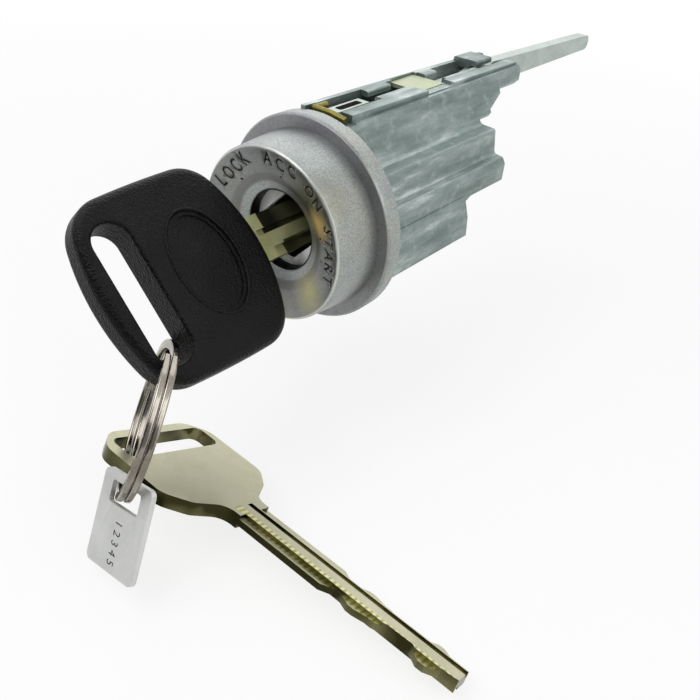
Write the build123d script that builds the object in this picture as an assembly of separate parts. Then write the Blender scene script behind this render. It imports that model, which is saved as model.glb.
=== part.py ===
"""Vehicle ignition lock cylinder with its key in place, a spare key and a code tag on a split ring.

Frame, in millimetres: the lock's axis is Y, with the key entering from -Y. The origin is on that
axis in the flange's rear face, where the flange seats. +Z points to the open channel on top.
"""
import math
import os

from build123d import *

# Nose and flange
flange_r = 18.0
flange_t = 3.1
flange_edge = 0.4
nose_len = 9.1
nose_front_r = 15.0
nose_back_r = 15.6
nose_bevel = 0.5

# Dished face, radii and depths from the face's rim
dish_mid_r = 10.1
dish_mid_depth = 1.45
dish_inner_r = 7.8
dish_inner_depth = 2.6
keyhole_r = 6.83
keyhole_depth = 3.0
keyhole_lip = 2.05

# Plug and its bore
plug_r = 7.4
plug_clearance = 0.05
plug_end_gap = 0.1
plug_rear_y = 39.0
plug_cap_t = 1.2
plug_tail_r = 5.0
plug_tail_len = 5.6
plug_tail_flat = 3.1
key_angle = 44.4

# Housing body, half of its section as x and z, from the rail down to the lower edge
rail_half = 4.5
rail_top_front = 18.1
rail_top_rear = 17.45
ledge_half = 5.4
ledge_z = 17.0
flank_foot = (8.2, 11.0)
groove_upper = (8.6, 10.2)
rib_upper_top = (9.4, 9.9)
rib_upper_out = (12.0, 9.8)
rib_upper_low = (12.5, 5.8)
groove_lower = (12.7, 5.2)
rib_lower_top = (14.5, 5.0)
rib_lower_out = (15.2, 3.9)
rib_lower_low = (15.1, 0.5)
section_floor = 0.0
rib_end_y = 37.2
rib_edge = 0.55
round_body_r = 13.2
round_body_end_y = 23.8
barrel_r = 10.3
barrel_end_y = 36.6
fin_top = (15.2, 1.2)
fin_mid = (16.4, -2.6)
fin_out = (16.6, -6.2)
fin_foot = (12.6, -8.6)
block_end_y = 46.2
block_slant_y = 41.5
block_floor = 10.2
tail_half = 4.9
tail_floor = 12.6
tail_side_floor = 13.6
tail_end_y = 57.1
tail_chamfer = 1.7

# Channel and its lugs: x range, y range and top
channel_near = 2.2
channel_far = -3.5
channel_floor = 11.9
channel_front_y = 0.9
lug_t = 1.0
near_lugs = ((13.5, 23.3, 0.5), (33.2, 44.0, 1.2))
far_lugs = ((14.6, 21.4, -1.9), (32.0, 35.8, -1.7))
far_end_lug = (45.6, 51.2, 1.1)
far_end_lug_rise = 0.8
near_low_rail = (24.2, 32.4)
near_rail_drop = 0.9
plate_seat_w = 0.7

# Release lever, an upright blade that rocks on its pin
lever_t = 2.5
lever_x = -0.25
lever_pin_y = 48.0
lever_pin_z = 14.6
lever_pin_r = 1.3
lever_pin_clearance = 0.05
lever_pin_len = 7.6
lever_front_y = 3.0
lever_pad_end_y = 11.4
lever_pad_top = 17.5
lever_front_floor = 15.0
lever_low_top = 16.1
lever_rear_floor = 12.7
lever_root_top = 17.3
lever_tip_y = 97.0
lever_tip_top = 15.9
lever_tip_r = 1.5

# Lever spring of brass wire
wire_d = 1.1
wire_y = 1.35
wire_z = 17.75
wire_notch = 0.3
wire_arm = 3.0

# Yellow chromated plate across the channel
plate_y = (23.9, 31.4)
plate_t = 0.7
plate_top = 17.3
plate_gap = 0.1

# Keyway, wafers and shutter
blade_w = 8.0
blade_t = 2.2
keyway_gap = 0.15
keyway_rib_w = 0.6
keyway_rib_h = 0.5
cap_open_w = 9.6
cap_open_l = 11.6
wafer_count = 8
wafer_first_y = 4.6
wafer_pitch = 2.75
wafer_t = 1.2
wafer_slot_gap = 0.08
wafer_w = 5.4
wafer_reach = 7.2
wafer_ear_w = 2.0
wafer_ear_h = 1.4
wafer_groove_r = 9.0
wafer_spring_r = 0.8
wafer_spring_len = 2.4
shutter_open_deg = 78.0
shutter_l = 4.3
shutter_w = 8.8
shutter_t = 0.8
shutter_barrel_r = 0.75
shutter_spring_d = 0.4

# Plug detent and rear clip
detent_y = 31.5
detent_bore_r = 1.5
detent_ball_r = 1.4
detent_len = 5.2
clip_y = 37.8
clip_t = 0.9
clip_r = 7.0
clip_groove_depth = 0.9
clip_gap = 0.06

# Spring-loaded retaining pin on the hidden lower left side
retain_deg = 225.0
retain_y = 17.5
retain_r = 2.0
retain_tip_r = 17.4
retain_root_r = 11.6
retain_travel = 2.2
retain_head_r = 2.7
retain_head_t = 1.2
retain_bore_r = 1.35
retain_bore_l = 3.6
retain_spring_r = 1.2
retain_floor_r = 8.6
retain_gap = 0.06

# Key blade, shared by both keys
blade_len = 41.0
blade_tip_w = 3.6
blade_tip_len = 2.6
blade_groove_x = (0.3, 1.3)
blade_groove_d = 0.6
blade_groove_y = 0.9
blade_thin_x = (1.5, 2.2)
blade_thin_d = 0.6
blade_thin_y = 2.7
cut_pitch = 3.0
cut_flat = 1.1
cut_end_margin = 2.0
cut_depths = (0.0, 1.25, 0.25, 0.8, 1.6, 1.7, 0.2, 1.45)

# Black moulded head of the key
head_front_y = -15.8
head_shift = 0.3
head_len = 30.2
head_front_half = 15.4
head_wide_half = 15.45
head_rear_half = 14.6
head_front_bow = 4.7
head_rear_bow = 3.0
head_corner_front = 6.5
head_corner_rear = 7.0
head_t = 5.4
head_edge = 1.6
head_slot_l = 22.6
head_slot_w = 6.3
head_slot_x = 0.4
head_slot_y = 24.0
head_slot_edge = 0.6
head_oval_a = 8.5
head_oval_b = 5.7
head_oval_x = -0.1
head_oval_y = 11.4
head_oval_rim = 0.7
head_oval_depth = 0.5
tang_len = 12.0

# Split ring of two turns
ring_r = 11.35
ring_wire_w = 1.45
ring_wire_t = 1.0
ring_turn_gap = 0.06
ring_overlap_deg = 300.0
ring_x = 7.74
ring_y = -45.12
ring_z = -15.21
ring_normal = Vector(0.683, 0.647, -0.341)

# Spare key: bow sizes and pose
bow_len = 21.8
bow_half = 11.6
bow_end_half = 8.3
bow_front_half = 8.3
bow_rear_slope = 3.4
bow_front_slope = 5.8
bow_shoulder = 2.2
bow_corner = 3.5
neck_corner = 3.0
bow_slot_l = 19.8
bow_slot_w = 5.4
bow_slot_corner = 1.5
bow_slot_x = -0.4
bow_slot_y = 4.5
spare_blade_w = 7.0
spare_blade_x = -0.35
spare_blade_lean = 0.9
spare_x = -2.0
spare_y = -37.76
spare_z = -26.44
spare_axis = Vector(1.0, -0.02, -0.09)
spare_normal = Vector(0.09, 0.43, 0.90)

# Code tag: size and pose
tag_w = 11.6
tag_l = 13.9
tag_t = 0.8
tag_corner = 1.0
tag_slot_l = 7.0
tag_slot_w = 3.2
tag_slot_y = 2.9
tag_x = 11.55
tag_y = -51.38
tag_z = -19.95
tag_axis = Vector(0.97, -0.08, 0.21)
tag_normal = Vector(-0.17, -0.87, 0.46)

ring_centre = Vector(ring_x, ring_y, ring_z)
spare_origin = Vector(spare_x, spare_y, spare_z)
tag_origin = Vector(tag_x, tag_y, tag_z)
nose_front_y = -flange_t - nose_len
lip_rear_y = nose_front_y + keyhole_depth + keyhole_lip
bore_r = plug_r + plug_clearance
cap_front_y = lip_rear_y + plug_end_gap
plug_front_y = cap_front_y + plug_cap_t
key_turn = Rot(0, key_angle, 0)


def across(y):
    """Plane across the axis at y: its x is X and its y is Z."""
    return Plane(origin=(0, y, 0), x_dir=(1, 0, 0), z_dir=(0, -1, 0))


def prism(sketch, y_from, y_to):
    """Solid of an XZ sketch between two places along the axis."""
    return extrude(across(y_to) * sketch, amount=y_to - y_from)


def block(x_range, y_range, z_range):
    """Box from its ranges."""
    size = [high - low for low, high in (x_range, y_range, z_range)]
    centre = [(high + low) / 2 for low, high in (x_range, y_range, z_range)]
    return Pos(*centre) * Box(*size)


def rod(start, end, radius):
    """Round bar between two points."""
    start = Vector(*start)
    end = Vector(*end)
    plane = Plane(origin=start, z_dir=end - start)
    return extrude(plane * Circle(radius), amount=(end - start).length)


def radial_rod(angle_deg, y, r_from, r_to, radius):
    """Round bar along a radius at the angle seen from the front."""
    angle = math.radians(angle_deg)
    direction = (math.cos(angle), math.sin(angle))
    start = (direction[0] * r_from, y, direction[1] * r_from)
    end = (direction[0] * r_to, y, direction[1] * r_to)
    return rod(start, end, radius)


def mirrored(points):
    """Closed outline from right-hand points listed top to bottom."""
    return list(points) + [(-x, z) for x, z in reversed(points)]


def rail_top(y):
    """Height of the rails, which fall slightly towards the tail."""
    return rail_top_front + (rail_top_rear - rail_top_front) * y / tail_end_y


def upper_section(y_end):
    """Ribbed upper body, the same section from the flange to y_end."""
    points = [
        (ledge_half, ledge_z), flank_foot, groove_upper, rib_upper_top, rib_upper_out,
        rib_upper_low, groove_lower, rib_lower_top, rib_lower_out, rib_lower_low,
        (rib_lower_low[0] - 1.0, section_floor),
    ]
    outline = make_face(Polyline(*mirrored(points), close=True))
    corners = [v for v in outline.vertices() if abs(v.X) > flank_foot[0] - 0.1 and v.Y > 0.3]
    outline = fillet(corners, rib_edge)
    return prism(outline, 0, y_end)


def fin_section():
    """Flat-sided fins low on both sides of the round body."""
    points = [fin_top, fin_mid, fin_out, fin_foot]
    outline = make_face(Polyline(*mirrored(points), close=True))
    return prism(outline, 0, round_body_end_y)


def top_block():
    """Channel block on top, its slanted foot and the narrower tail."""
    side = [
        (0, block_floor), (0, rail_top(0)), (tail_end_y - tail_chamfer, rail_top(tail_end_y)),
        (tail_end_y, rail_top(tail_end_y) - tail_chamfer), (tail_end_y, tail_floor),
        (block_end_y, tail_floor), (block_slant_y, block_floor),
    ]
    wall = extrude(Plane.YZ * make_face(Polyline(*side, close=True)), amount=ledge_half, both=True)
    section = [
        (rail_half, rail_top_front + 1), (rail_half, ledge_z), (ledge_half, ledge_z),
        (ledge_half, block_floor - 1),
    ]
    wall &= prism(make_face(Polyline(*mirrored(section), close=True)), 0, tail_end_y)
    bevel = [(tail_half, ledge_z + 2), (tail_half, tail_side_floor), (tail_half - 1.0, tail_floor)]
    tail = prism(make_face(Polyline(*mirrored(bevel), close=True)), block_end_y, tail_end_y)
    front = block((-20, 20), (-1, block_end_y), (0, 30))
    return wall & (front + tail)


def flank():
    """Sloping sides of the block behind the ribs, with their slanted rear end."""
    section = [(ledge_half, ledge_z), flank_foot, (flank_foot[0] - 0.5, block_floor)]
    sides = prism(make_face(Polyline(*mirrored(section), close=True)), 0, block_end_y)
    slant = [
        (0, 0), (0, 30), (block_end_y, 30), (block_end_y, tail_side_floor),
        (block_slant_y, flank_foot[1] + 0.6), (block_slant_y, 0),
    ]
    return sides & extrude(Plane.YZ * make_face(Polyline(*slant, close=True)), amount=12, both=True)


def lug(x_root, x_tip, y_range, rise):
    """Lug folded inwards over the channel, with a rounded top."""
    top = rail_top(y_range[0]) + rise
    piece = block(sorted((x_root, x_tip)), y_range, (top - lug_t, top))
    edges = piece.edges().filter_by(Axis.Y).group_by(Axis.Z)[-1]
    return fillet(edges, lug_t * 0.4)


def lock_housing():
    """Die-cast housing: nose, flange, ribbed body, channel block and its lugs."""
    face_y = nose_front_y
    turned = Polyline(
        (0, 0), (0, face_y + keyhole_depth), (keyhole_r, face_y + keyhole_depth),
        (dish_inner_r, face_y + dish_inner_depth), (dish_mid_r, face_y + dish_mid_depth),
        (nose_front_r - nose_bevel, face_y), (nose_front_r, face_y + nose_bevel),
        (nose_back_r, -flange_t), (flange_r - flange_edge, -flange_t),
        (flange_r, -flange_t + flange_edge), (flange_r, 0), close=True,
    )
    body = revolve(make_face(turned), axis=Axis.Y)
    body += prism(Circle(round_body_r), 0, round_body_end_y)
    body += prism(Circle(barrel_r), 0, barrel_end_y)
    body += upper_section(rib_end_y)
    body += fin_section()
    body += flank()
    body += top_block()
    trough = ((channel_far, channel_near), (channel_front_y, tail_end_y + 1), (channel_floor, 30))
    body -= block(*trough)
    rail_low = rail_top_front - near_rail_drop
    body -= block((channel_near - 1, rail_half + 1), near_low_rail, (rail_low, 30))
    seat = (channel_far - plate_seat_w, channel_near + plate_seat_w)
    seat_y = (plate_y[0] - plate_gap, plate_y[1] + plate_gap)
    body -= block(seat, seat_y, (plate_top - plate_t, 30))
    body -= block((-3.6, rail_half + 1), (-wire_notch, 2.4), (wire_z - wire_d, 30))
    for y_from, y_to, x_tip in near_lugs:
        body += lug(channel_near + 0.5, x_tip, (y_from, y_to), 0)
    for y_from, y_to, x_tip in far_lugs:
        body += lug(channel_far - 0.5, x_tip, (y_from, y_to), 0)
    y_from, y_to, x_tip = far_end_lug
    body += lug(channel_far - 0.8, x_tip, (y_from, y_to), far_end_lug_rise)
    body -= prism(Circle(keyhole_r), face_y, lip_rear_y + 1)
    body -= prism(Circle(bore_r), lip_rear_y, tail_end_y)
    wafer_end = wafer_first_y + wafer_pitch * wafer_count
    groove = Rectangle(2 * wafer_groove_r, wafer_w + 0.6) & Circle(wafer_groove_r)
    body -= key_turn * prism(groove, wafer_first_y - 2, wafer_end)
    pin_hole_end = lever_x + lever_pin_len / 2
    body -= rod((-12, lever_pin_y, lever_pin_z), (pin_hole_end, lever_pin_y, lever_pin_z), lever_pin_r)
    shoulder = retain_root_r + retain_head_t + retain_gap
    body -= radial_rod(retain_deg, retain_y, retain_floor_r, shoulder, retain_head_r + retain_gap)
    body -= radial_rod(retain_deg, retain_y, shoulder - 1, 20.0, retain_r + retain_gap)
    return body


def keyway(y_from, y_to, gap=keyway_gap):
    """Keyway with a rib on each side that fits the blade's groove, in the key's own frame."""
    open_t = blade_t + 2 * gap
    way = Rectangle(blade_w + 2 * gap, open_t)
    rib_x = sum(blade_groove_x) / 2
    for side in (-1, 1):
        rib = Pos(-side * rib_x, side * (open_t - keyway_rib_h) / 2)
        way -= rib * Rectangle(keyway_rib_w, keyway_rib_h)
    return prism(way, y_from, y_to)


def wafer_y(index):
    """Middle of a wafer along the axis."""
    return wafer_first_y + index * wafer_pitch


def wafer_side(index):
    """Wafers alternate, with their spring ear on one side or the other."""
    return 1 if index % 2 else -1


def spring_pocket(index, radius):
    """Round pocket beside the wafer for its spring, in the key's own frame."""
    side = wafer_side(index)
    x_from = side * (wafer_reach - wafer_ear_h - 0.1)
    x_to = x_from - side * wafer_spring_len
    z = wafer_w / 2 + wafer_ear_w / 2
    return rod((x_from, wafer_y(index), z), (x_to, wafer_y(index), z), radius)


def wafer_shape(index, gap=0.0):
    """Outline of one wafer with its spring ear."""
    side = wafer_side(index)
    body = Rectangle(2 * wafer_reach, wafer_w + 2 * gap)
    ear_x = side * (wafer_reach - wafer_ear_h / 2)
    body += Pos(ear_x, wafer_w / 2 + wafer_ear_w / 2) * Rectangle(wafer_ear_h + 2 * gap, wafer_ear_w)
    return body & Circle(wafer_reach)


def wafer(index):
    """Sliding wafer with the window that the blade passes through."""
    plate = wafer_shape(index) - Rectangle(blade_w + 2 * keyway_gap, blade_t + 2 * keyway_gap)
    half = wafer_t / 2
    return key_turn * prism(plate, wafer_y(index) - half, wafer_y(index) + half)


def wafer_springs():
    """The wafers' small springs, one closed turn stack for each."""
    return Compound([key_turn * spring_pocket(i, wafer_spring_r * 0.85) for i in range(wafer_count)])


def plug():
    """Turning plug with keyway, wafer slots, detent bore, clip groove and flatted tail."""
    core = prism(Circle(plug_r), plug_front_y, plug_rear_y)
    core += prism(Circle(plug_tail_r), plug_rear_y, plug_rear_y + plug_tail_len)
    for side in (-1, 1):
        flat = ((-10, 10), (plug_rear_y + 1.6, plug_rear_y + plug_tail_len + 1))
        z_range = sorted((side * plug_tail_flat, side * 10))
        core -= block(flat[0], flat[1], z_range)
    core -= keyway(plug_front_y - 1, 29.5)
    throat = Rectangle(cap_open_w, cap_open_l) & Circle(keyhole_r - 0.6)
    core -= prism(throat, plug_front_y - 1, plug_front_y + shutter_l + 1.2)
    slot_half = wafer_t / 2 + wafer_slot_gap
    for index in range(wafer_count):
        y = wafer_y(index)
        core -= prism(wafer_shape(index, wafer_slot_gap), y - slot_half, y + slot_half)
        core -= spring_pocket(index, wafer_spring_r)
    core -= rod((0, detent_y, -plug_r - 1), (0, detent_y, -plug_r + detent_len), detent_bore_r)
    groove = Circle(plug_r + 1) - Circle(plug_r - clip_groove_depth)
    core -= prism(groove, clip_y - clip_t / 2 - clip_gap, clip_y + clip_t / 2 + clip_gap)
    return key_turn * core


def plug_cap():
    """Bright pressed cap on the plug's front with the keyhole's opening."""
    disc = Circle(plug_r) - (Rectangle(cap_open_w, cap_open_l) & Circle(keyhole_r - 0.6))
    return key_turn * prism(disc, cap_front_y, plug_front_y)


def key_shutter():
    """Door behind the cap, swung inwards and held open by the blade."""
    z_hinge = blade_t / 2 + 2.6
    y_hinge = plug_front_y + shutter_barrel_r + 0.15
    door = block((-shutter_w / 2, shutter_w / 2), (0, shutter_l), (-shutter_t / 2, shutter_t / 2))
    door = Rot(shutter_open_deg - 90, 0, 0) * door
    barrel = rod((-shutter_w / 2, 0, 0), (shutter_w / 2, 0, 0), shutter_barrel_r)
    return key_turn * (Pos(0, y_hinge, z_hinge) * (door + barrel))


def shutter_spring():
    """Small leaf of wire that closes the shutter."""
    z_hinge = blade_t / 2 + 2.6
    y_hinge = plug_front_y + shutter_barrel_r + 0.15
    offset = shutter_barrel_r + shutter_spring_d
    wire = rod((-2.6, y_hinge, z_hinge + offset), (2.6, y_hinge, z_hinge + offset), shutter_spring_d / 2)
    return key_turn * wire


def detent_ball():
    """Ball that clicks into the housing at each key position."""
    return key_turn * (Pos(0, detent_y, -plug_r + detent_ball_r + 0.05) * Sphere(detent_ball_r))


def detent_spring():
    """Spring behind the detent ball."""
    low = -plug_r + 2 * detent_ball_r + 0.1
    return key_turn * rod((0, detent_y, low), (0, detent_y, -plug_r + detent_len), detent_bore_r * 0.8)


def plug_clip():
    """Open ring clip in the plug's rear groove, behind the barrel."""
    ring = Circle(clip_r + 1.6) - Circle(plug_r - clip_groove_depth + clip_gap)
    ring -= Pos(0, -clip_r) * Rectangle(9.0, 2 * clip_r)
    return key_turn * prism(ring, clip_y - clip_t / 2, clip_y + clip_t / 2)


def release_lever():
    """Upright flat lever that lies in the channel and reaches far behind the lock."""
    side = Polyline(
        (lever_front_y, lever_front_floor), (lever_front_y, lever_pad_top),
        (lever_pad_end_y, lever_pad_top), (lever_pad_end_y + 1.4, lever_low_top),
        (lever_pin_y - 4.2, lever_low_top), (far_end_lug[0], lever_low_top + 0.5),
        (far_end_lug[1], lever_low_top + 0.7), (far_end_lug[1] + 1.0, lever_root_top), (lever_tip_y, lever_tip_top),
        (lever_tip_y, lever_rear_floor), (tail_end_y - 6.6, lever_rear_floor),
        (lever_pin_y - 2.4, lever_rear_floor), (lever_pin_y - 6.0, lever_front_floor), close=True,
    )
    profile = make_face(side)
    tip = [v for v in profile.vertices() if v.X > lever_tip_y - 0.1]
    profile = fillet(tip, lever_tip_r)
    lever = extrude(Plane.YZ * profile, amount=lever_t / 2, both=True)
    hole = rod((-9, lever_pin_y, lever_pin_z), (9, lever_pin_y, lever_pin_z), lever_pin_r + lever_pin_clearance)
    return Pos(lever_x, 0, 0) * (lever - hole)


def lever_pin():
    """Pivot pin pressed into the block from the far side."""
    half = lever_pin_len / 2
    start = (lever_x - half, lever_pin_y, lever_pin_z)
    return rod(start, (lever_x + half, lever_pin_y, lever_pin_z), lever_pin_r)


def lever_spring():
    """Brass wire spring: a bar across the channel's mouth and a short arm along it."""
    points = [
        (4.0, wire_y, wire_z - 0.5), (0.8, wire_y, wire_z), (-2.7, wire_y, wire_z),
        (-2.7, wire_y + wire_arm, wire_z - 0.13),
    ]
    wire = rod(points[0], points[1], wire_d / 2)
    wire += Pos(*points[1]) * Sphere(wire_d / 2)
    wire += rod(points[1], points[2], wire_d / 2)
    wire += Pos(*points[2]) * Sphere(wire_d / 2)
    wire += rod(points[2], points[3], wire_d / 2)
    return wire


def channel_plate():
    """Thin yellow chromated plate let into the rails."""
    half = plate_seat_w - plate_gap
    x_range = (channel_far - half, channel_near + half)
    return block(x_range, plate_y, (plate_top - plate_t, plate_top))


def retaining_pin():
    """Radial pin that springs out to hold the lock in its bracket."""
    root = retain_root_r
    pin = radial_rod(retain_deg, retain_y, root, retain_tip_r, retain_r)
    pin += radial_rod(retain_deg, retain_y, root, root + retain_head_t, retain_head_r)
    return pin - radial_rod(retain_deg, retain_y, root - 1, root + retain_bore_l, retain_bore_r)


def retaining_spring():
    """Coil inside the retaining pin, as its outer shape at full travel."""
    top = retain_root_r + retain_bore_l - retain_travel - 0.1
    outer = radial_rod(retain_deg, retain_y, retain_floor_r, top, retain_spring_r)
    return outer - radial_rod(retain_deg, retain_y, retain_floor_r - 1, top + 1, retain_spring_r * 0.6)


def cut_edge():
    """Place and depth of the points along a cut edge, from the first cut to the last."""
    points = []
    start = blade_len - cut_end_margin - cut_pitch * (len(cut_depths) - 1)
    for index, depth in enumerate(cut_depths):
        y = start + index * cut_pitch
        points.append((y - cut_flat / 2, depth))
        points.append((y + cut_flat / 2, depth))
    return points


def blade_face(root, width):
    """Outline of a blade along +Y from y = 0 to its tip, cut alike on both edges."""
    half = width / 2
    right = [(half, -root)]
    right += [(half - depth, y) for y, depth in cut_edge()]
    right += [(blade_tip_w / 2, blade_len)]
    left = [(-x, y) for x, y in reversed(right)]
    return make_face(Polyline(*right, *left, close=True))


def blade_grooves(width):
    """Cutters for the groove and the thinned edges on both faces of a blade."""
    half = width / 2
    zones = (
        (-blade_groove_x[1], -blade_groove_x[0], blade_groove_y, blade_groove_d),
        (-half - 1, -blade_thin_x[0], blade_thin_y, blade_thin_d),
        (blade_thin_x[1], half + 1, blade_thin_y, blade_thin_d),
    )
    cutters = []
    for x_from, x_to, y_from, depth in zones:
        cut = block((x_from, x_to), (y_from, blade_len + 1), (blade_t / 2 - depth, blade_t / 2 + 1))
        cutters += [cut, Rot(0, 180, 0) * cut]
    return cutters


def blade(root):
    """Key blade with a tang of length root behind it."""
    plate = extrude(Plane.XY * blade_face(root, blade_w), amount=blade_t / 2, both=True)
    for cut in blade_grooves(blade_w):
        plate -= cut
    return plate


def head_outline():
    """Outline of the moulded head with y = 0 at the middle of its front edge."""
    rear = -head_len
    front_arc = ThreePointArc(
        (-head_front_half, -head_front_bow), (0, 0), (head_front_half, -head_front_bow))
    rear_arc = ThreePointArc(
        (head_rear_half, rear + head_rear_bow), (0, rear), (-head_rear_half, rear + head_rear_bow))
    right = [
        (head_front_half, -head_front_bow), (head_wide_half, -head_len * 0.42),
        (head_rear_half, rear + head_rear_bow),
    ]
    left = [(-x, y) for x, y in reversed(right)]
    face = make_face(front_arc + ThreePointArc(*right) + rear_arc + ThreePointArc(*left))
    corner_front = [v for v in face.vertices() if v.Y > -head_front_bow - 0.1]
    face = fillet(corner_front, head_corner_front)
    corner_rear = [v for v in face.vertices() if v.Y < rear + head_rear_bow + 0.1 and abs(v.X) > 5]
    return fillet(corner_rear, head_corner_rear)


def key_head():
    """Moulded head with its slot and a plain oval recess on both faces."""
    head = extrude(Plane.XY * head_outline(), amount=head_t / 2, both=True)
    rims = [e for e in head.edges() if abs(abs(e.center().Z) - head_t / 2) < 0.01]
    head = fillet(rims, head_edge)
    slot = Pos(head_slot_x, -head_slot_y) * SlotOverall(head_slot_l, head_slot_w)
    head -= extrude(Plane.XY * slot, amount=head_t, both=True)
    rims = [
        e for e in head.edges()
        if abs(abs(e.center().Z) - head_t / 2) < 0.01 and abs(e.center().Y + head_slot_y) < head_slot_w
        and abs(e.center().X) < head_slot_l / 2 + 0.1
    ]
    head = fillet(rims, head_slot_edge)
    for side in (-1, 1):
        for shrink, depth in ((0, head_oval_depth / 2), (head_oval_rim, head_oval_depth)):
            plane = Plane.XY.offset(side * (head_t / 2 - depth))
            oval = Ellipse(head_oval_a - shrink, head_oval_b - shrink)
            head -= extrude(plane * (Pos(head_oval_x, -head_oval_y) * oval), amount=side * 2)
    head = Pos(head_shift, 0, 0) * head
    tang = block((-blade_w / 2, blade_w / 2), (-tang_len, 1), (-blade_t / 2, blade_t / 2))
    return key_turn * (Pos(0, head_front_y, 0) * (head - tang))


def key_blade():
    """Blade of the key that is in the lock."""
    return key_turn * (Pos(0, head_front_y, 0) * blade(tang_len))


def split_ring():
    """Two flat turns joined by the short stretch that steps from one to the other."""
    step = (ring_wire_t + ring_turn_gap) / 2
    rest = 360.0 - ring_overlap_deg
    turns = None
    for level in (-step, step):
        wire = Plane.XZ * (Pos(ring_r, level) * RectangleRounded(ring_wire_w, ring_wire_t, 0.3))
        turn = revolve(wire, axis=Axis.Z, revolution_arc=ring_overlap_deg)
        turns = turn if turns is None else turns + turn
    sections = []
    count = 6
    for index in range(count + 1):
        share = index / count
        angle = ring_overlap_deg + rest * share
        level = step * (2 * share * share * (3 - 2 * share) - 1)
        wire = Plane.XZ * (Pos(ring_r, level) * RectangleRounded(ring_wire_w, ring_wire_t, 0.3))
        sections.append(Rot(0, 0, angle) * wire)
    ramp = loft(sections)
    ring = turns + ramp
    plane = Plane(origin=ring_centre, x_dir=(0, 0, 1), z_dir=ring_normal)
    return plane * ring


def spare_key():
    """Flat metal key with a slotted bow, in its pose on the ring."""
    neck = [(spare_blade_x + side * spare_blade_w / 2, bow_len) for side in (1, -1)]
    half = [
        (bow_end_half, 0), (bow_half, bow_rear_slope), (bow_half, bow_len - bow_front_slope),
        (bow_front_half, bow_len - bow_shoulder),
    ]
    bow = make_face(Polyline(*half, *neck, *[(-x, y) for x, y in reversed(half)], close=True))
    corners = [v for v in bow.vertices() if abs(v.X) > blade_w / 2 + 0.5]
    bow = fillet(corners, bow_corner)
    place = Pos(spare_blade_x, bow_len, 0) * Rot(0, 0, spare_blade_lean)
    outline = bow + place * blade_face(0.5, spare_blade_w)
    inner = [v for v in outline.vertices() if abs(v.Y - bow_len) < 0.2 and abs(v.X) > 2.5]
    outline = fillet(inner, neck_corner)
    outline -= Pos(bow_slot_x, bow_slot_y) * RectangleRounded(bow_slot_l, bow_slot_w, bow_slot_corner)
    key = extrude(Plane.XY * outline, amount=blade_t / 2, both=True)
    for cut in blade_grooves(spare_blade_w):
        key -= place * cut
    normal = spare_normal.normalized()
    side = spare_axis.normalized().cross(normal)
    return Plane(origin=spare_origin - normal * (blade_t / 2), x_dir=side, z_dir=normal) * key


def code_tag():
    """Stamped aluminium tag with its slot, in its pose on the ring."""
    face = Pos(0, -tag_l / 2) * RectangleRounded(tag_w, tag_l, tag_corner)
    face -= Pos(0, -tag_slot_y) * RectangleRounded(tag_slot_l, tag_slot_w, 0.5)
    plate = extrude(Plane.XY * face, amount=tag_t / 2, both=True)
    normal = tag_normal.normalized()
    side = tag_axis - normal * tag_axis.dot(normal)
    return Plane(origin=tag_origin, x_dir=side, z_dir=normal) * plate


def main():
    """Write one STEP file for each piece."""
    os.makedirs("parts", exist_ok=True)
    pieces = {
        "lock_housing": lock_housing(), "plug": plug(), "plug_cap": plug_cap(),
        "key_shutter": key_shutter(), "shutter_spring": shutter_spring(),
        "wafer_springs": wafer_springs(), "detent_ball": detent_ball(),
        "detent_spring": detent_spring(), "plug_clip": plug_clip(),
        "release_lever": release_lever(), "lever_pin": lever_pin(),
        "lever_spring": lever_spring(), "channel_plate": channel_plate(),
        "retaining_pin": retaining_pin(), "retaining_spring": retaining_spring(),
        "key_blade": key_blade(), "key_head": key_head(), "split_ring": split_ring(),
        "spare_key": spare_key(), "code_tag": code_tag(),
    }
    for index in range(wafer_count):
        pieces["wafer_%d" % (index + 1)] = wafer(index)
    for name, shape in pieces.items():
        export_step(shape, "parts/%s.step" % name)


main()
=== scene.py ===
"""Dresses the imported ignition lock: engraved face, grained key head, metals, floor and lights."""

import math

import bpy
import bmesh
from mathutils import Matrix, Vector


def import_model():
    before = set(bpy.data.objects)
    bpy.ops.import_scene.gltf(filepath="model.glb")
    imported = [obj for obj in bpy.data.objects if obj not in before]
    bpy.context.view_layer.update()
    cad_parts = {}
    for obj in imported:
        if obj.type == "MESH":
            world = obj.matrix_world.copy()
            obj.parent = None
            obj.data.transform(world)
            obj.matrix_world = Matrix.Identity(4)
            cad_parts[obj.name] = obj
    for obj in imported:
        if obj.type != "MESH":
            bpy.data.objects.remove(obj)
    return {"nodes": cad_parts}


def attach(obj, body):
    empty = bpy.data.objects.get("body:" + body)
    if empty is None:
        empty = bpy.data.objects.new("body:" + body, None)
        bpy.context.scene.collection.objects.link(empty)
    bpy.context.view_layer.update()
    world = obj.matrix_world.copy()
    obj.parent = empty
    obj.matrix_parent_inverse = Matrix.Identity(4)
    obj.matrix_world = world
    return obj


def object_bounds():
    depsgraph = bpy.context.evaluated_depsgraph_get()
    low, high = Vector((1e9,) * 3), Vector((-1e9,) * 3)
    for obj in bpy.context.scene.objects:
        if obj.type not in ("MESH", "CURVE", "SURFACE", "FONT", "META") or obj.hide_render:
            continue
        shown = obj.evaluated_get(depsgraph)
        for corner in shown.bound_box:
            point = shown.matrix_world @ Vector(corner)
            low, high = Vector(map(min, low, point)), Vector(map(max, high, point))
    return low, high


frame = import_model()
cad_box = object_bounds()
nodes = frame["nodes"]
MM = 0.001

# Camera, solved from the round nose, the flange and the ribs
CAMERA_PLACE = Vector((87.25, -105.37, 63.99)) * MM
CAMERA_RIGHT = Vector((0.77508, 0.62817, 0.06823))
CAMERA_DOWN = Vector((0.39593, -0.39869, -0.82722))
CAMERA_LENS = 44.2
CAMERA_SENSOR = 36
CAMERA_NEAR = 10 * MM

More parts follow.
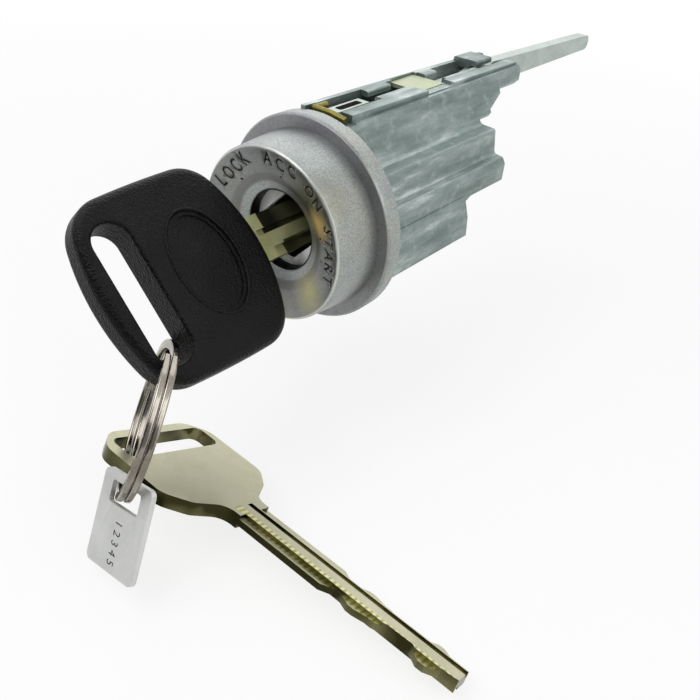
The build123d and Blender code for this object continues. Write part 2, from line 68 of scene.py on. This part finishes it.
# Nose and flange: places along the axis, radii about it, and the softness of a colour's edge
NOSE_FRONT_Y = -12.2 * MM
NOSE_RIM_Y = -11.8 * MM
NOSE_BACK_R = 15.55 * MM
FLANGE_FACE_Y = -2.9 * MM
DISH_RIM_R = 14.5 * MM
DISH_MID_R = 10.1 * MM
DISH_MID_DEPTH = 1.45 * MM
DISH_BACK_Y = -10.0 * MM
BORE_R = 7.0 * MM
SOFT = 0.1 * MM

# Stamped words: middle in degrees, radius and letter step in mm, and the index dot in degrees
WORDS = (
    ("LOCK", 135.6, 12.25, 2.45, 135.6),
    ("ACC", 82.3, 12.6, 2.6, 82.7),
    ("ON", 46.8, 12.7, 2.35, 48.5),
    ("START", 3.4, 12.35, 2.1, 14.5),
)
LETTER_SIZE = 3.5 * MM
LETTER_NARROW = 0.72
LETTER_WEIGHT = 0.045 * MM
LETTER_HALF_DEPTH = 0.3 * MM
LETTER_LIFT = 0.1 * MM
DOT_CIRCLE_R = 10.3 * MM
DOT_BOTTOM_R = 0.162 * MM
DOT_TOP_R = 0.324 * MM

# Tinted patches on the face: place in mm, colour, inner and outer radius in mm, share. The bright
# warm second one is a painted highlight; the others are darker brown and olive patches
FACE_TINTS_AND_HIGHLIGHT = (
    ((8.6, -11.3, 7.5), (0.20, 0.19, 0.115), 1.0, 6.5, 0.75),
    ((9.6, -11.2, 4.9), (1.0, 0.72, 0.34), 0.6, 3.2, 1.0),
    ((8.4, -11.4, -7.6), (0.44, 0.42, 0.20), 1.0, 4.6, 0.8),
    ((3.2, -8.5, -15.2), (0.52, 0.50, 0.30), 1.0, 6.0, 0.5),
)

# Inserted key, turned about the lock's axis
KEY_TURN = math.radians(44.4)
KEY_FACE = Vector((math.sin(KEY_TURN), 0, math.cos(KEY_TURN)))
KEY_SIDE = Vector((math.cos(KEY_TURN), 0, -math.sin(KEY_TURN)))
KEY_ALONG = Vector((0, 1, 0))

# Painted shadow in its blade's grooves, as dark bands: stretch along it, width across it and fade in
# mm, and colour
GROOVE_SHADE_BANDS = (
    ((-13.1, -4.0), (-4.5, -0.4), 6, (0.02, 0.02, 0.012)),
    ((-10.8, -4.0), (1.8, 4.5), 5, (0.05, 0.05, 0.02)),
)

# Spare key, and the painted highlight in waves along its land: stretch and width in mm, and the waves
SPARE_FACE = Vector((0.09, 0.43, 0.90)).normalized()
SPARE_PLACE = Vector((-2.0, -37.76, -26.44)) * MM
SPARE_ACROSS = Vector((1.0, -0.02, -0.09)).normalized().cross(SPARE_FACE)
SPARE_ALONG = SPARE_FACE.cross(SPARE_ACROSS)
LAND_STRETCH = (22.5, 90)
LAND_WIDTH = (0.8, 2.25)
LAND_WAVES = 6600.0

# Tag with sunk digits
TAG_PLACE = Vector((11.55, -51.38, -19.95)) * MM
TAG_FACE = Vector((-0.17, -0.87, 0.46)).normalized()
TAG_ACROSS = Vector((0.97, -0.08, 0.21))
TAG_HALF_T = 0.4 * MM
TAG_CODE = "1 2 3 4 5"
DIGIT_SIZE = 2.3 * MM
DIGIT_NARROW = 0.8
DIGIT_HALF_DEPTH = 0.12 * MM
DIGIT_DOWN = 9.6 * MM

# Pocket in the release lever's pad: two corners of its box in mm
POCKET = ((-1.0, 4.3, 16.2), (0.5, 10.3, 18.6))
POCKET_CORNER = 0.5 * MM

# Raised rim round the head's oval: centre along Y, half axes, face height, bead radius and steps
OVAL_PLACE = (0.2 * MM, -27.2 * MM)
OVAL_AXES = (8.75 * MM, 5.95 * MM)
OVAL_LEVEL = 2.62 * MM
BEAD_R = 0.3 * MM
BEAD_STEPS = 72
BEAD_SIDES = 8

# Floor in metres, how far its seen part glows, and the direction of the darker surroundings
FLOOR_GAP = 0.4 * MM
FLOOR_SIZE = 16.0
FLOOR_GLOW = 0.8
FLOOR_NEAR = 0.08
FLOOR_FAR = 0.3
DARK_SIDE = (0.0, -0.9, 0.43)

# Square lamps: name, place and aim in mm, side in metres, power in watts
LAMPS = (
    ("key_light", (-60, -160, 220), (10, 0, 0), 0.22, 0.45),
    ("side_light", (210, -40, 140), (10, 10, 0), 0.2, 0.2),
    ("back_light", (-120, 160, 200), (10, 10, 0), 0.35, 0.3),
)


def put(name, data):
    """New object in the scene."""
    item = bpy.data.objects.new(name, data)
    bpy.context.scene.collection.objects.link(item)
    return item


def axes_matrix(x_axis, y_axis, z_axis, origin):
    """Matrix with three axes and an origin."""
    matrix = Matrix((x_axis, y_axis, z_axis)).transposed().to_4x4()
    matrix.translation = origin
    return matrix


def node_tree(name):
    """New material with its Principled shader."""
    mat = bpy.data.materials.new(name)
    mat.use_nodes = True
    tree = mat.node_tree
    return mat, tree, tree.nodes["Principled BSDF"]


def in_use(sockets):
    """Sockets that a node's settings leave switched on."""
    return [socket for socket in sockets if socket.enabled]


def add(tree, kind, **values):
    """New node with its sockets or settings filled in."""
    node = tree.nodes.new(kind)
    for key, value in values.items():
        if key in node.inputs:
            node.inputs[key].default_value = value
        else:
            setattr(node, key, value)
    return node


def combine(tree, operation, *items):
    """One value worked out from one or two values or numbers."""
    node = add(tree, "ShaderNodeMath", operation=operation)
    for socket, item in zip(node.inputs, items):
        if isinstance(item, (float, int)):
            socket.default_value = item
        else:
            tree.links.new(item, socket)
    return node.outputs[0]


def vector_math(tree, operation, vector, other=None):
    """Vector worked on with a fixed one, or measured."""
    node = add(tree, "ShaderNodeVectorMath", operation=operation)
    tree.links.new(vector, node.inputs[0])
    if other is not None:
        node.inputs[1].default_value = other
    return in_use(node.outputs)[0]


def object_place(tree):
    """Place on the object, in metres."""
    return add(tree, "ShaderNodeTexCoord").outputs["Object"]


def stretched(tree, stretch=(1, 1, 1)):
    """Place on the object, scaled along its axes."""
    mapping = add(tree, "ShaderNodeMapping", Scale=stretch)
    tree.links.new(object_place(tree), mapping.inputs["Vector"])
    return mapping.outputs["Vector"]


def noise(tree, scale, detail=3.0, rough=0.55, stretch=(1, 1, 1)):
    """Noise at a scale per metre."""
    tex = add(tree, "ShaderNodeTexNoise", Scale=scale, Detail=detail, Roughness=rough)
    tree.links.new(stretched(tree, stretch), tex.inputs["Vector"])
    return tex.outputs["Fac"]


def ramp(tree, fac, stops):
    """Colour ramp through (place, colour) stops."""
    node = add(tree, "ShaderNodeValToRGB")
    elements = node.color_ramp.elements
    while len(elements) < len(stops):
        elements.new(0.5)
    for element, (spot, colour) in zip(elements, stops):
        element.position = spot
        element.color = (*colour, 1)
    tree.links.new(fac, node.inputs["Fac"])
    return node.outputs["Color"]


def spread(tree, value, low, high, start=0.3, end=0.7):
    """Value mapped from start..end to low..high."""
    node = add(tree, "ShaderNodeMapRange")
    for socket, number in zip(("From Min", "From Max", "To Min", "To Max"), (start, end, low, high)):
        node.inputs[socket].default_value = number
    tree.links.new(value, node.inputs["Value"])
    return node.outputs["Result"]


def beyond(tree, value, limit, soft=SOFT):
    """0 short of a limit and 1 past it, with a soft edge."""
    return spread(tree, value, 0, 1, limit - soft, limit + soft)


def within(tree, value, limit, soft=SOFT):
    """1 short of a limit and 0 past it, with a soft edge."""
    return spread(tree, value, 1, 0, limit - soft, limit + soft)


def both(tree, first, second):
    """1 only where both masks are."""
    return combine(tree, "MULTIPLY", first, second)


def mix(tree, fac, first, second, kind="MIX"):
    """Two colours mixed by a value or a number."""
    node = add(tree, "ShaderNodeMix", data_type="RGBA", blend_type=kind)
    for name, item in (("Factor", fac), ("A", first), ("B", second)):
        socket = [socket for socket in in_use(node.inputs) if socket.name == name][0]
        if isinstance(item, (float, int)):
            socket.default_value = item
        elif isinstance(item, tuple):
            socket.default_value = (*item, 1)
        else:
            tree.links.new(item, socket)
    return in_use(node.outputs)[0]


def overlay(tree, name, mask, value):
    """Mixes a colour, where a mask is 1, over what feeds one of the shader's sockets."""
    socket = tree.nodes["Principled BSDF"].inputs[name]
    tree.links.new(mix(tree, mask, socket.links[0].from_socket, value), socket)


def bump(tree, shader, layers):
    """Bump from (height, depth in metres, strength) layers."""
    last = None
    for height, depth, strength in layers:
        node = add(tree, "ShaderNodeBump", Distance=depth, Strength=strength)
        tree.links.new(height, node.inputs["Height"])
        if last:
            tree.links.new(last, node.inputs["Normal"])
        last = node.outputs["Normal"]
    tree.links.new(last, shader.inputs["Normal"])


def metal(name, dark, light, rough=(0.25, 0.4), metallic=1.0, mottle=180, grain=2600, depth=0.02,
          scratch=None):
    """Worked metal: mottled colour, uneven gloss, fine grain with its depth in mm, and brushing."""
    mat, tree, shader = node_tree(name)
    cloud = noise(tree, mottle, 4.0, 0.6)
    tint = ramp(tree, cloud, ((0.32, dark), (0.68, light)))
    fine = noise(tree, grain, 2.0, 0.6)
    tint = mix(tree, 0.25, tint, ramp(tree, fine, ((0.3, dark), (0.7, light))))
    tree.links.new(tint, shader.inputs["Base Color"])
    shader.inputs["Metallic"].default_value = metallic
    tree.links.new(spread(tree, cloud, *rough), shader.inputs["Roughness"])
    layers = [(fine, depth * MM, 0.5)]
    if scratch:
        layers.append((noise(tree, 900, 3.0, 0.6, scratch), depth * MM, 0.4))
    bump(tree, shader, layers)
    return mat


def painted_edge_shade(mat, face, dark, light, rough):
    """Painted shade on the cut edges, darker and streaked, where the surface turns away from a
    plate's face.
    """
    tree = mat.node_tree
    normal = add(tree, "ShaderNodeTexCoord").outputs["Normal"]
    facing = combine(tree, "ABSOLUTE", vector_math(tree, "DOT_PRODUCT", normal, face))
    side = spread(tree, facing, 1, 0, 0.3, 0.8)
    streaks = ramp(tree, noise(tree, 110, 2.0, 0.5), ((0.42, dark), (0.62, light)))
    overlay(tree, "Base Color", side, streaks)
    overlay(tree, "Roughness", side, (rough, rough, rough))


def band(tree, origin, along, across, stretch, width, fade=0.1):
    """Mask of a band on a blade, with limits in mm and one fading end, and the place along it."""
    shifted = vector_math(tree, "SUBTRACT", object_place(tree), origin)
    run = vector_math(tree, "DOT_PRODUCT", shifted, along)
    side = vector_math(tree, "DOT_PRODUCT", shifted, across)
    start, end = (limit * MM for limit in stretch)
    low, high = (limit * MM for limit in width)
    lengthwise = both(tree, beyond(tree, run, start), within(tree, run, end, fade * MM))
    crosswise = both(tree, beyond(tree, side, low), within(tree, side, high))
    return both(tree, lengthwise, crosswise), run


def land_highlight(mat):
    """Painted highlight in gold waves along the spare key's land."""
    tree = mat.node_tree
    land, run = band(tree, SPARE_PLACE, SPARE_ALONG, SPARE_ACROSS, LAND_STRETCH, LAND_WIDTH)
    wave = combine(tree, "SINE", combine(tree, "MULTIPLY", run, LAND_WAVES))
    gold = ramp(tree, spread(tree, wave, 0, 1, -1, 1), (
        (0.15, (0.42, 0.40, 0.17)), (0.45, (0.66, 0.64, 0.32)), (0.85, (0.76, 0.74, 0.42)),
    ))
    overlay(tree, "Base Color", land, gold)


def shade_grooves(mat):
    """Painted shadow in the grooves of the inserted key's blade, as dark bands."""
    tree = mat.node_tree
    for stretch, width, fade, colour in GROOVE_SHADE_BANDS:
        groove, _ = band(tree, Vector(), KEY_ALONG, KEY_SIDE, stretch, width, fade)
        overlay(tree, "Base Color", groove, colour)


def nose_colour(tree, spot, radius, depth, cloud, fine, blot):
    """Grainy casting, a duller flange, painted shade in the dish and bore, a painted rim highlight,
    tinted patches and a painted warm highlight.
    """
    tint = ramp(tree, cloud, (
        (0.34, (0.32, 0.31, 0.34)), (0.5, (0.35, 0.38, 0.36)), (0.66, (0.38, 0.37, 0.30)),
    ))
    grain = ramp(tree, fine, ((0.3, (0.15, 0.16, 0.16)), (0.7, (0.52, 0.55, 0.54))))
    tint = mix(tree, 0.5, tint, grain)
    tint = mix(tree, spread(tree, blot, 0, 0.5, 0.56, 0.72), tint, (0.27, 0.29, 0.29))
    flange_face = both(
        tree, within(tree, depth, FLANGE_FACE_Y), beyond(tree, radius, NOSE_BACK_R, 1.5 * SOFT))
    tint = mix(tree, flange_face, tint, mix(tree, 0.6, tint, (0.20, 0.195, 0.215)))
    # Painted shade in the dish, darkest outside its middle
    dish = both(
        tree, within(tree, depth, DISH_BACK_Y),
        within(tree, radius, DISH_RIM_R + 0.5 * SOFT, 0.5 * SOFT))
    painted_dish_shade = spread(tree, radius, 0.85, 0.55, DISH_MID_R - 2 * SOFT, DISH_MID_R + 2 * SOFT)
    tint = mix(tree, dish, tint, mix(tree, painted_dish_shade, tint, (0.17, 0.17, 0.16)))
    # Painted highlight on the rim of the dish
    rim = both(tree, within(tree, depth, NOSE_RIM_Y), beyond(tree, radius, DISH_RIM_R + SOFT))
    tint = mix(tree, rim, tint, (0.58, 0.60, 0.57))
    # Tinted patches, and one bright warm painted highlight between ON and START
    for centre, colour, inner, outer, share in FACE_TINTS_AND_HIGHLIGHT:
        gap = vector_math(tree, "DISTANCE", spot, Vector(centre) * MM)
        patch = both(
            tree, spread(tree, gap, 1, 0, inner * MM, outer * MM),
            spread(tree, blot, 0.75 * share, share))
        tint = mix(tree, patch, tint, colour)
    # Painted shade: the bore inside the keyhole is near black
    return mix(tree, within(tree, radius, BORE_R), tint, (0.012, 0.012, 0.011))


def body_colour(tree, flow, fine, blot):
    """Flow marks along the casting, with fine grain and pale blots."""
    tint = ramp(tree, flow, (
        (0.34, (0.14, 0.185, 0.17)), (0.47, (0.205, 0.26, 0.245)), (0.57, (0.29, 0.345, 0.33)),
        (0.65, (0.52, 0.58, 0.57)),
    ))
    grain = ramp(tree, fine, ((0.3, (0.15, 0.19, 0.18)), (0.7, (0.46, 0.52, 0.51))))
    tint = mix(tree, 0.15, tint, grain)
    return mix(tree, spread(tree, blot, 0, 0.35, 0.55, 0.68), tint, (0.44, 0.50, 0.49))


def zinc():
    """Die-cast zinc: a pale, grainy nose and flange, and a darker, flow-marked body behind them."""
    mat, tree, shader = node_tree("die-cast_zinc")
    spot = object_place(tree)
    split = add(tree, "ShaderNodeSeparateXYZ")
    tree.links.new(spot, split.inputs["Vector"])
    depth = split.outputs["Y"]
    radius = vector_math(tree, "LENGTH", vector_math(tree, "MULTIPLY", spot, (1, 0, 1)))
    cloud = noise(tree, 70, 4.0, 0.6)
    fine = noise(tree, 3400, 2.0, 0.7)
    flow = noise(tree, 260, 5.0, 0.65, (1, 0.18, 1))
    blot = noise(tree, 380, 3.0, 0.6)
    nose = nose_colour(tree, spot, radius, depth, cloud, fine, blot)
    body = body_colour(tree, flow, fine, blot)
    tree.links.new(mix(tree, beyond(tree, depth, 0), nose, body), shader.inputs["Base Color"])
    shader.inputs["Metallic"].default_value = 0.85
    tree.links.new(spread(tree, flow, 0.52, 0.36), shader.inputs["Roughness"])
    bump(tree, shader, [(fine, 0.02 * MM, 0.5), (flow, 0.10 * MM, 0.35), (cloud, 0.2 * MM, 0.15)])
    return mat


def moulded():
    """Black moulded plastic with a leather-like grain."""
    mat, tree, shader = node_tree("black_plastic")
    cells = add(tree, "ShaderNodeTexVoronoi", Scale=3000.0, feature="SMOOTH_F1", Smoothness=0.5)
    tree.links.new(stretched(tree), cells.inputs["Vector"])
    grain = noise(tree, 4200, 3.0, 0.6)
    worn = noise(tree, 120, 4.0, 0.6)
    tint = ramp(tree, worn, ((0.35, (0.002, 0.002, 0.0025)), (0.7, (0.006, 0.006, 0.007))))
    shader.inputs["Specular IOR Level"].default_value = 0.13
    tree.links.new(tint, shader.inputs["Base Color"])
    tree.links.new(spread(tree, grain, 0.28, 0.46), shader.inputs["Roughness"])
    bump(tree, shader, [(cells.outputs["Distance"], 0.14 * MM, 0.8), (grain, 0.05 * MM, 0.6)])
    return mat


def paint(name, material):
    """Gives a CAD node one material."""
    data = nodes[name].data
    data.materials.clear()
    data.materials.append(material)


def text_mesh(name, words, size, depth, weight):
    """Flat letters of a given half depth as a mesh, centred on their middle."""
    curve = bpy.data.curves.new(name, "FONT")
    curve.body = words
    curve.size = size
    curve.extrude = depth
    curve.offset = weight
    curve.resolution_u = 3
    curve.align_x = "CENTER"
    curve.align_y = "CENTER"
    carrier = put(name, curve)
    bpy.context.view_layer.update()
    shaped = carrier.evaluated_get(bpy.context.evaluated_depsgraph_get())
    mesh = bpy.data.meshes.new_from_object(shaped)
    bpy.data.objects.remove(carrier)
    return mesh


def hidden_cutter(name, mesh, shade):
    """Object that only cuts, and leaves its shade on the walls that it cuts."""
    mesh.materials.append(shade)
    cutter = put(name, mesh)
    cutter.hide_render = True
    cutter.hide_viewport = True
    return cutter


def engrave(target, cutter):
    """Cuts a hidden cutter out of a CAD node's shown shape."""
    modifier = target.modifiers.new("engraving", "BOOLEAN")
    modifier.operation = "DIFFERENCE"
    modifier.solver = "EXACT"
    modifier.material_mode = "TRANSFER"
    modifier.object = cutter
    target.modifiers.new("even_shading", "WEIGHTED_NORMAL").keep_sharp = True


def dish_frame(angle_deg, radius):
    """Matrix on the dish: X clockwise seen from the front, Y outwards, Z towards the viewer."""
    angle = math.radians(angle_deg)
    outward = Vector((math.cos(angle), 0, math.sin(angle)))
    along = Vector((math.sin(angle), 0, -math.cos(angle)))
    rise = DISH_MID_DEPTH / (DISH_RIM_R - DISH_MID_R)
    up = (outward + Vector((0, -rise, 0))).normalized()
    spot = outward * radius
    spot.y = NOSE_FRONT_Y + (DISH_RIM_R - radius) * rise
    return axes_matrix(along, up, along.cross(up), spot)


def face_letters(shade):
    """Cutter with the straight stamped words and the index dots of the face."""
    bm = bmesh.new()
    narrow = Matrix.Scale(LETTER_NARROW, 4, (1, 0, 0))
    for word, angle, radius, step, dot in WORDS:
        base = dish_frame(angle, radius * MM)
        for index, letter in enumerate(word):
            shift = (index - (len(word) - 1) / 2) * step * MM
            mesh = text_mesh("letter", letter, LETTER_SIZE, LETTER_HALF_DEPTH, LETTER_WEIGHT)
            mesh.transform(base @ Matrix.Translation((shift, 0, LETTER_LIFT)) @ narrow)
            bm.from_mesh(mesh)
        bmesh.ops.create_cone(
            bm, cap_ends=True, segments=12, radius1=DOT_BOTTOM_R, radius2=DOT_TOP_R,
            depth=2 * LETTER_HALF_DEPTH, matrix=dish_frame(dot, DOT_CIRCLE_R))
    bmesh.ops.remove_doubles(bm, verts=bm.verts, dist=1e-7)
    bmesh.ops.recalc_face_normals(bm, faces=bm.faces)
    mesh = bpy.data.meshes.new("engraving")
    bm.to_mesh(mesh)
    return hidden_cutter("engraving_cutter", mesh, shade)


def tag_digits(shade):
    """Cutter with generic digits, read along the tag, for its front."""
    across = (TAG_ACROSS - TAG_FACE * TAG_ACROSS.dot(TAG_FACE)).normalized()
    down = across.cross(TAG_FACE)
    spot = TAG_PLACE + down * DIGIT_DOWN + TAG_FACE * TAG_HALF_T
    mesh = text_mesh("tag_digits", TAG_CODE, DIGIT_SIZE, DIGIT_HALF_DEPTH, 0)
    narrow = Matrix.Scale(DIGIT_NARROW, 4, (1, 0, 0))
    mesh.transform(axes_matrix(down, across, TAG_FACE, spot) @ narrow)
    return hidden_cutter("tag_digit_cutter", mesh, shade)


def lever_pocket(shade):
    """Cutter for the framed pocket in the top of the release lever's pad."""
    low, high = (Vector(corner) * MM for corner in POCKET)
    bm = bmesh.new()
    middle = Matrix.Translation((low + high) / 2)
    bmesh.ops.create_cube(bm, size=1, matrix=middle @ Matrix.Diagonal((*(high - low), 1)))
    upright = [edge for edge in bm.edges if abs(edge.verts[0].co.z - edge.verts[1].co.z) > MM]
    bmesh.ops.bevel(bm, geom=upright, offset=POCKET_CORNER, segments=4, affect="EDGES", profile=0.5)
    mesh = bpy.data.meshes.new("lever_pocket")
    bm.to_mesh(mesh)
    return hidden_cutter("lever_pocket_cutter", mesh, shade)


def oval_bead(name, side, shade):
    """Raised rim round the oval recess on one face of the key head."""
    bm = bmesh.new()
    rings = []
    for index in range(BEAD_STEPS):
        turn = 2 * math.pi * index / BEAD_STEPS
        rise = Vector((math.cos(turn) / OVAL_AXES[0], math.sin(turn) / OVAL_AXES[1])).normalized()
        ring_verts = []
        for step in range(BEAD_SIDES):
            tilt = 2 * math.pi * step / BEAD_SIDES
            x = OVAL_PLACE[0] + OVAL_AXES[0] * math.cos(turn) + BEAD_R * math.cos(tilt) * rise.x
            y = OVAL_PLACE[1] + OVAL_AXES[1] * math.sin(turn) + BEAD_R * math.cos(tilt) * rise.y
            z = side * (OVAL_LEVEL + BEAD_R * math.sin(tilt))
            ring_verts.append(bm.verts.new(KEY_SIDE * x + KEY_ALONG * y + KEY_FACE * z))
        rings.append(ring_verts)
    for here, there in zip(rings, rings[1:] + rings[:1]):
        for step in range(BEAD_SIDES):
            following = (step + 1) % BEAD_SIDES
            bm.faces.new((here[step], there[step], there[following], here[following]))
    for face in bm.faces:
        face.smooth = True
    bmesh.ops.recalc_face_normals(bm, faces=bm.faces)
    mesh = bpy.data.meshes.new(name)
    bm.to_mesh(mesh)
    mesh.materials.append(shade)
    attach(put(name, mesh), "key")


def light(name, place_mm, target_mm, side, power):
    """Soft square lamp aimed at a point."""
    lamp = bpy.data.lights.new(name, "AREA")
    lamp.size = side
    lamp.energy = power
    body = put(name, lamp)
    body.location = Vector(place_mm) * MM
    aim = Vector(target_mm) * MM - body.location
    body.rotation_euler = aim.to_track_quat("-Z", "Y").to_euler()


def background_rays(tree):
    """1 for camera rays, and 1 for all rays that show the background: glossy and transmission too."""
    rays = add(tree, "ShaderNodeLightPath").outputs
    seen = rays["Is Camera Ray"]
    for kind in ("Is Glossy Ray", "Is Transmission Ray"):
        seen = combine(tree, "MAXIMUM", seen, rays[kind])
    return rays["Is Camera Ray"], seen


def world():
    """White surroundings with a darker front for reflections and a plain level for light."""
    sky = bpy.data.worlds.new("studio")
    sky.use_nodes = True
    tree = sky.node_tree
    back = tree.nodes["Background"]
    direction = add(tree, "ShaderNodeTexCoord").outputs["Generated"]
    facing = vector_math(tree, "DOT_PRODUCT", direction, DARK_SIDE)
    reflected = ramp(tree, spread(tree, facing, 0, 1, 0.25, 0.85), (
        (0.0, (1.0, 1.0, 1.0)), (0.45, (0.42, 0.42, 0.43)), (1.0, (0.10, 0.10, 0.11)),
    ))
    lit = mix(tree, 1.0, reflected, (0.55, 0.55, 0.55), "MULTIPLY")
    is_camera, is_seen = background_rays(tree)
    shade = mix(tree, is_seen, lit, reflected)
    tree.links.new(mix(tree, is_camera, shade, (1.0, 1.0, 1.0)), back.inputs["Color"])
    back.inputs["Strength"].default_value = 1.0
    bpy.context.scene.world = sky


def floor():
    """Pale floor just below the lowest piece, whiter where it is seen but keeping shadows."""
    bm = bmesh.new()
    bmesh.ops.create_grid(bm, x_segments=1, y_segments=1, size=FLOOR_SIZE / 2)
    mesh = bpy.data.meshes.new("floor")
    bm.to_mesh(mesh)
    plane = put("floor", mesh)
    plane.location = (0, 0, cad_box[0][2] - FLOOR_GAP)
    mat, tree, shader = node_tree("floor")
    shader.inputs["Base Color"].default_value = (0.88, 0.88, 0.88, 1)
    shader.inputs["Roughness"].default_value = 0.8
    shader.inputs["Specular IOR Level"].default_value = 0.1
    away = vector_math(tree, "LENGTH", object_place(tree))
    share = spread(tree, away, FLOOR_GLOW, 1, FLOOR_NEAR, FLOOR_FAR)
    glow = add(tree, "ShaderNodeEmission", Strength=1.0)
    blend = add(tree, "ShaderNodeMixShader")
    tree.links.new(both(tree, background_rays(tree)[1], share), blend.inputs["Fac"])
    tree.links.new(shader.outputs[0], blend.inputs[1])
    tree.links.new(glow.outputs[0], blend.inputs[2])
    tree.links.new(blend.outputs[0], tree.nodes["Material Output"].inputs["Surface"])
    mesh.materials.append(mat)


def camera():
    """Camera at the solved place."""
    lens = bpy.data.cameras.new("camera")
    lens.lens = CAMERA_LENS
    lens.sensor_width = CAMERA_SENSOR
    lens.clip_start = CAMERA_NEAR
    body = put("camera", lens)
    backward = CAMERA_RIGHT.cross(-CAMERA_DOWN)
    body.matrix_world = axes_matrix(CAMERA_RIGHT, -CAMERA_DOWN, backward, CAMERA_PLACE)
    bpy.context.scene.camera = body


# Materials: dark and light colour, roughness and share of metal
zinc_metal = zinc()
bright = metal("bright_steel", (0.52, 0.53, 0.52), (0.72, 0.73, 0.72), (0.3, 0.42), 0.9)
cap = metal("plated_cap", (0.78, 0.79, 0.77), (0.88, 0.89, 0.87), (0.5, 0.6), 0.05)
dark = metal("dark_steel", (0.010, 0.010, 0.009), (0.035, 0.034, 0.028), (0.35, 0.55), 0.6)
spring = metal("spring_steel", (0.28, 0.28, 0.28), (0.48, 0.48, 0.48), (0.25, 0.4))
brass = metal("wafer_brass", (0.40, 0.33, 0.14), (0.66, 0.55, 0.28), (0.3, 0.45))
lever = metal("lever_steel", (0.36, 0.41, 0.38), (0.56, 0.62, 0.58), (0.45, 0.6), 0.75, mottle=260)
wire = metal("brass_wire", (0.10, 0.085, 0.015), (0.30, 0.26, 0.07), (0.3, 0.45), 0.8)
plate = metal("yellow_chromate", (0.36, 0.40, 0.26), (0.50, 0.54, 0.38), (0.4, 0.55), 0.7)
blade = metal(
    "key_blade", (0.44, 0.45, 0.20), (0.66, 0.66, 0.38), (0.40, 0.55), 0.6, scratch=(1, 0.1, 1))
spare = metal(
    "nickel_silver", (0.46, 0.45, 0.30), (0.64, 0.62, 0.46), (0.28, 0.44), scratch=(0.1, 1, 1))
ring = metal(
    "polished_nickel", (0.17, 0.15, 0.12), (0.40, 0.37, 0.32), (0.08, 0.16), grain=4000, depth=0.004)
tag = metal("tag_aluminium", (0.60, 0.61, 0.59), (0.76, 0.77, 0.75), (0.4, 0.55), 0.4)
stamped = metal("stamped_shadow", (0.02, 0.02, 0.015), (0.09, 0.085, 0.07), (0.5, 0.7), 0.5)
black = moulded()
# Painted highlight along the spare key's land
land_highlight(spare)
# Painted shadow in the grooves of the inserted blade
shade_grooves(blade)
# Painted shade on the sides of the spare key and of the blade
painted_edge_shade(spare, SPARE_FACE, (0.035, 0.033, 0.012), (0.20, 0.19, 0.09), 0.25)
painted_edge_shade(blade, KEY_FACE, (0.03, 0.03, 0.012), (0.14, 0.14, 0.06), 0.35)

# Every node that isn't named here is a brass wafer
FINISHES = {
    "lock_housing": zinc_metal, "plug": dark, "plug_cap": cap, "key_shutter": dark,
    "shutter_spring": spring, "wafer_springs": spring, "detent_ball": bright, "detent_spring": spring,
    "plug_clip": spring, "release_lever": lever, "lever_pin": bright, "lever_spring": wire,
    "channel_plate": plate, "retaining_pin": bright, "retaining_spring": spring, "key_blade": blade,
    "key_head": black, "split_ring": ring, "spare_key": spare, "code_tag": tag,
}
for name in nodes:
    paint(name, FINISHES.get(name, brass))

# Stamped and cut forms, and the rims of the key head's ovals
engrave(nodes["lock_housing"], face_letters(stamped))
engrave(nodes["code_tag"], tag_digits(stamped))
engrave(nodes["release_lever"], lever_pocket(stamped))
oval_bead("oval_rim_front", 1, black)
oval_bead("oval_rim_back", -1, black)

# Studio
camera()
world()
floor()
for lamp_values in LAMPS:
    light(*lamp_values)
bpy.context.scene.view_settings.view_transform = "Standard"
